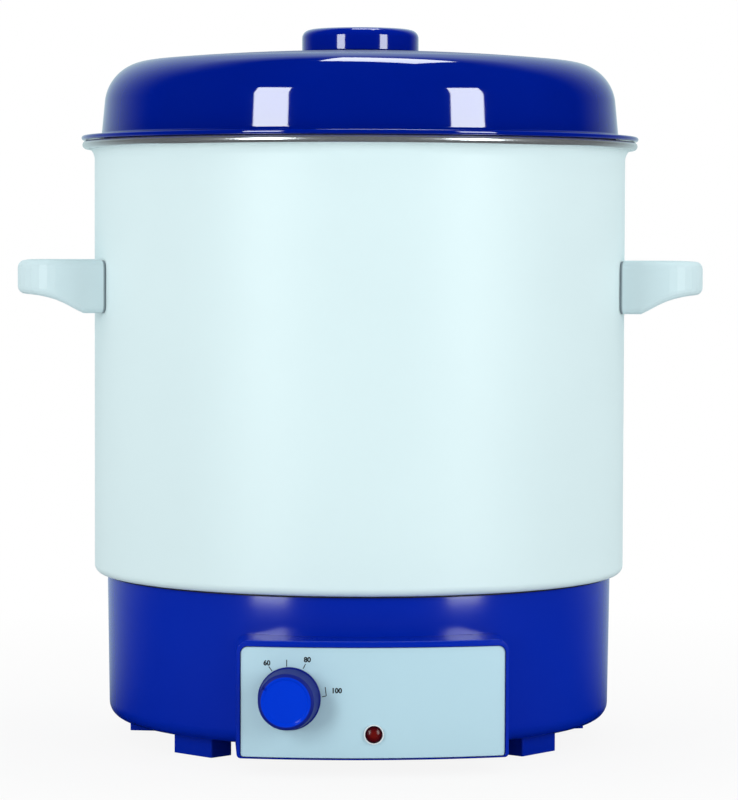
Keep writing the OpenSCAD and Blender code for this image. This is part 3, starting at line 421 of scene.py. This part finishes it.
def red_lens():
    """Dark red clear plastic, darker towards its edge, with a fine relief."""
    mat, tree, bsdf = new_material("red_lens")
    bsdf.inputs["IOR"].default_value = 1.42
    bsdf.inputs["Transmission Weight"].default_value = 0.1
    low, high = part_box("lamp_lens")
    centre = (Vector(low) + Vector(high)) / 2
    offset = vector_op(tree, "SUBTRACT", object_coords(tree), centre)
    reach = vector_op(tree, "LENGTH", vector_op(tree, "MULTIPLY", offset, (1, 0, 1)))
    share = math_op(tree, "DIVIDE", reach, (high[0] - low[0]) / 2)
    ramp_colour(tree, bsdf, share, [(0.3, srgb(112, 16, 14)), (0.95, srgb(44, 0, 16))])
    vary_roughness(tree, bsdf, noise(tree, 300, 3), 0.16, 0.24)
    add_bump(tree, bsdf, noise(tree, 900, 2), 1.2e-5)
    return mat


def dress_nodes(materials):
    """Every CAD node takes its slot's material."""
    for part in frame["record"]["subparts"]:
        obj = NODES[part["node"]]
        obj.data.materials.clear()
        obj.data.materials.append(materials[part["material_slot"]])


def mesh_piece(name, body, mat, bm):
    """A mesh made in this script becomes a piece that rides on a body."""
    mesh = bpy.data.meshes.new(name)
    bm.normal_update()
    bm.to_mesh(mesh)
    bm.free()
    obj = bpy.data.objects.new(name, mesh)
    bpy.context.collection.objects.link(obj)
    obj.data.materials.append(mat)
    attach(obj, body)
    return obj


def on_dial(x, y):
    """A point of ink on the bowed plate, from millimetres along the bow and up from the knob's centre."""
    angle = (KNOB_ALONG + x * MM) / PANEL_R
    r = PANEL_R + INK_LIFT
    return Vector((r * math.sin(angle), PANEL_AXIS_Y - r * math.cos(angle), KNOB_CENTRE.z + y * MM))


def ink_strip(bm, points, width):
    """A printed line of constant width along points in panel millimetres."""
    for (x0, y0), (x1, y1) in zip(points, points[1:]):
        direction = Vector((x1 - x0, y1 - y0)).normalized()
        side = Vector((-direction.y, direction.x)) * width / 2
        steps = max(2, int(abs(x1 - x0)))
        rows = []
        for i in range(steps + 1):
            centre = Vector((x0, y0)).lerp(Vector((x1, y1)), i / steps)
            rows.append([bm.verts.new(on_dial(*(centre + s * side))) for s in (1, -1)])
        for a, b in zip(rows, rows[1:]):
            bm.faces.new((a[0], a[1], b[1], b[0]))


def number_mesh(name, digits):
    """Digits as a flat mesh in millimetres, centred."""
    curve = bpy.data.curves.new(name, "FONT")
    curve.body = digits
    curve.size = NUMBER_SIZE
    curve.align_x = "CENTER"
    curve.align_y = "CENTER"
    curve.resolution_u = NUMBER_STEPS
    curve.offset = NUMBER_BOLD
    text = bpy.data.objects.new(name + "_curve", curve)
    bpy.context.collection.objects.link(text)
    bpy.context.view_layer.update()
    mesh = bpy.data.meshes.new_from_object(text.evaluated_get(bpy.context.evaluated_depsgraph_get()))
    bpy.data.objects.remove(text)
    return mesh


def make_dial(materials):
    """Ticks, a bracket and plain numbers, printed on the bowed plate."""
    ink = materials["print_ink"]
    for name, points in TICKS.items():
        bm = bmesh.new()
        ink_strip(bm, points, TICK_W)
        mesh_piece(name, "heater", ink, bm)
    for name, (digits, x, y) in NUMBERS.items():
        bm = bmesh.new()
        bm.from_mesh(number_mesh(name, digits))
        for v in bm.verts:
            v.co = on_dial(x + v.co.x, y + v.co.y)
        mesh_piece(name, "heater", ink, bm)


def arc(x, z, r, start, end, steps):
    """Points on an arc, with its ends in degrees."""
    angles = [math.radians(start + (end - start) * i / steps) for i in range(steps + 1)]
    return [(x + r * math.cos(a), z + r * math.sin(a)) for a in angles]


def lid_line(inset):
    """Crown, shoulder and wall, from the middle outward."""
    crown_z = LID_TOP_Z - LID_CROWN_R
    lean = math.degrees(math.atan(LID_DRAFT / (LID_H - LID_SHOULDER_R)))
    x = LID_WALL_R - LID_DRAFT - LID_SHOULDER_R * math.cos(math.radians(lean))
    z = crown_z + math.sqrt((LID_CROWN_R - LID_SHOULDER_R) ** 2 - x * x)
    join = math.degrees(math.atan2(z - crown_z, x))
    hub = math.degrees(math.acos(LID_HOLE_R / (LID_CROWN_R - inset)))
    crown = arc(0, crown_z, LID_CROWN_R - inset, hub, join, LID_CROWN_STEPS)
    return crown + arc(x, z, LID_SHOULDER_R - inset, join, lean, LID_SHOULDER_STEPS)[1:]


def lid_profile():
    """The whole section: outside, foot, rolled edge, folded lip and inside."""
    fall = math.tan(math.radians(LID_FLANGE_SLOPE))
    wall_z = LID_FLANGE_Z + (LID_EDGE_C - LID_WALL_R) * fall + LID_SHEET / 2
    roll = 180 - math.degrees(math.asin(LID_SHEET / 2 / LID_EDGE_R))
    lip_r = LID_WALL_R - 2 * LID_SHEET
    lip_top = LID_LIP_Z + LID_LIP_ROUND
    foot_z = wall_z + LID_FOOT_R * LID_FOOT_LIFT
    line = lid_line(0)
    line += arc(LID_WALL_R + LID_FOOT_R, foot_z, LID_FOOT_R, 180, 270 - LID_FLANGE_SLOPE, LID_FOOT_STEPS)
    line += arc(LID_EDGE_C, LID_FLANGE_Z, LID_EDGE_R, roll - LID_EDGE_OVERLAP, -roll, LID_EDGE_STEPS)
    line += [(LID_WALL_R + LID_LIP_ROUND, wall_z - LID_SHEET)]
    line += [(LID_WALL_R, wall_z - LID_SHEET - LID_LIP_DROP), (LID_WALL_R, lip_top)]
    line += [(LID_WALL_R - LID_LIP_ROUND, LID_LIP_Z), (lip_r + LID_LIP_ROUND, LID_LIP_Z)]
    line += [(lip_r, lip_top), (lip_r, wall_z)]
    return line + lid_line(LID_SHEET)[::-1]


def make_lid(materials):
    """The enamelled lid: a pressed dome with a flange that runs into a rolled edge, and a folded lip."""
    bm = bmesh.new()
    turn = [2 * math.pi * i / LID_STEPS for i in range(LID_STEPS)]
    rings = []
    for x, z in lid_profile():
        rings.append([bm.verts.new((x * MM * math.cos(a), x * MM * math.sin(a), z * MM)) for a in turn])
    for low, high in zip(rings, rings[1:] + rings[:1]):
        for i in range(LID_STEPS):
            j = (i + 1) % LID_STEPS
            bm.faces.new((low[i], high[i], high[j], low[j]))
    bmesh.ops.recalc_face_normals(bm, faces=bm.faces)
    for face in bm.faces:
        face.smooth = True
    obj = mesh_piece("lid_enamel", "lid", materials["blue_enamel"], bm)
    obj.data.set_sharp_from_angle(angle=math.radians(LID_SHARP))
    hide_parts("lid")


def brighter_behind(tree, direction, start=BACK_FROM):
    """The mirrored studio: bright behind the object, and dark in front and overhead."""
    bearing = vector_op(tree, "NORMALIZE", vector_op(tree, "MULTIPLY", direction, (1, 1, 0)))
    ramp = map_range(tree, component(tree, bearing, "Y"), (start, BACK_TO), (0, math.sqrt(BACK_LEVEL)))
    up = component(tree, vector_op(tree, "NORMALIZE", direction), "Z")
    high = map_range(tree, up, (HIGH_FROM, HIGH_TO), (1, 0))
    return math_op(tree, "MULTIPLY", math_op(tree, "POWER", ramp, 2), high)


def floor_material():
    """White to the camera except for a soft shadow, and the studio's gradient to glossy surfaces."""
    mat, tree, bsdf = new_material("floor_white")
    bsdf.inputs["Base Color"].default_value = (FLOOR_ALBEDO, FLOOR_ALBEDO, FLOOR_ALBEDO, 1)
    bsdf.inputs["Roughness"].default_value = FLOOR_ROUGHNESS
    bsdf.inputs["Specular IOR Level"].default_value = 0.0
    coords = object_coords(tree)
    reach = vector_op(tree, "LENGTH", coords)
    share = map_range(tree, reach, (SHADOW_FROM, SHADOW_TO), (SHADOW_WHITE, 1))
    white = tree.nodes.new("ShaderNodeEmission")
    mirrored = tree.nodes.new("ShaderNodeEmission")
    mirrored.inputs["Color"].default_value = MIRROR_TINT
    path = tree.nodes.new("ShaderNodeLightPath")
    as_mirror = tree.nodes.new("ShaderNodeMixShader")
    as_seen = tree.nodes.new("ShaderNodeMixShader")
    output = tree.nodes["Material Output"]
    tree.links.new(brighter_behind(tree, coords, FLOOR_FROM), mirrored.inputs["Strength"])
    tree.links.new(path.outputs["Is Glossy Ray"], as_mirror.inputs["Fac"])
    tree.links.new(bsdf.outputs["BSDF"], as_mirror.inputs[1])
    tree.links.new(mirrored.outputs["Emission"], as_mirror.inputs[2])
    seen = math_op(tree, "MULTIPLY", path.outputs["Is Camera Ray"], share)
    tree.links.new(seen, as_seen.inputs["Fac"])
    tree.links.new(as_mirror.outputs["Shader"], as_seen.inputs[1])
    tree.links.new(white.outputs["Emission"], as_seen.inputs[2])
    tree.links.new(as_seen.outputs["Shader"], output.inputs["Surface"])
    return mat


def make_floor():
    """A plain white floor that keeps a soft shadow close to the object."""
    bm = bmesh.new()
    bmesh.ops.create_grid(bm, x_segments=1, y_segments=1, size=FLOOR_HALF)
    mesh = bpy.data.meshes.new("floor")
    bm.to_mesh(mesh)
    bm.free()
    floor = bpy.data.objects.new("floor", mesh)
    floor.location.z = FLOOR_Z
    bpy.context.collection.objects.link(floor)
    floor.data.materials.append(floor_material())


def area_lamp(name, location, target, size, radiance):
    """A rectangular lamp that faces the target, with its power from its radiance and area."""
    data = bpy.data.lights.new(name, "AREA")
    data.shape = "RECTANGLE"
    data.size = size[0]
    data.size_y = size[1]
    data.energy = radiance * math.pi * size[0] * size[1]
    data.color = LAMP_TINT
    lamp = bpy.data.objects.new(name, data)
    lamp.location = location
    lamp.rotation_euler = (Vector(target) - Vector(location)).to_track_quat("-Z", "Y").to_euler()
    bpy.context.collection.objects.link(lamp)


def make_lamps():
    middle = (STRIP_TOP + STRIP_BOTTOM) / 2
    for name, (azimuth, width) in STRIPS.items():
        a = math.radians(azimuth)
        place = (STRIP_DISTANCE * math.sin(a), -STRIP_DISTANCE * math.cos(a), middle)
        area_lamp(name, place, (0, 0, middle), (width, STRIP_TOP - STRIP_BOTTOM), STRIP_RADIANCE)
    area_lamp("top_box", TOP_PLACE, TOP_TARGET, TOP_SIZE, TOP_RADIANCE)


def make_world():
    """White where the camera looks past the object, and plain soft light from all round."""
    world = bpy.data.worlds.new("studio")
    bpy.context.scene.world = world
    world.use_nodes = True
    tree = world.node_tree
    background = tree.nodes["Background"]
    coords = tree.nodes.new("ShaderNodeTexCoord").outputs["Generated"]
    path = tree.nodes.new("ShaderNodeLightPath")
    colour = tree.nodes.new("ShaderNodeMix")
    colour.data_type = "RGBA"
    colour.inputs[6].default_value = (1, 1, 1, 1)
    colour.inputs[7].default_value = MIRROR_TINT
    tree.links.new(path.outputs["Is Glossy Ray"], colour.inputs[0])
    tree.links.new(colour.outputs[2], background.inputs["Color"])
    gloss = tree.nodes.new("ShaderNodeMix")
    soft = map_range(tree, component(tree, coords, "Y"), WORLD_SPAN, (WORLD_FRONT, WORLD_BACK))
    tree.links.new(path.outputs["Is Glossy Ray"], gloss.inputs[0])
    tree.links.new(soft, gloss.inputs[2])
    tree.links.new(brighter_behind(tree, coords), gloss.inputs[3])
    see = tree.nodes.new("ShaderNodeMix")
    see.inputs[3].default_value = 1.0
    seen = math_op(tree, "MAXIMUM", path.outputs["Is Camera Ray"], path.outputs["Is Transmission Ray"])
    tree.links.new(seen, see.inputs[0])
    tree.links.new(gloss.outputs[0], see.inputs[2])
    tree.links.new(see.outputs[0], background.inputs["Strength"])


bpy.context.scene.view_settings.view_transform = "Standard"
make_camera()
MATERIALS = make_materials()
dress_nodes(MATERIALS)
make_lid(MATERIALS)
make_dial(MATERIALS)
make_floor()
make_lamps()
make_world()
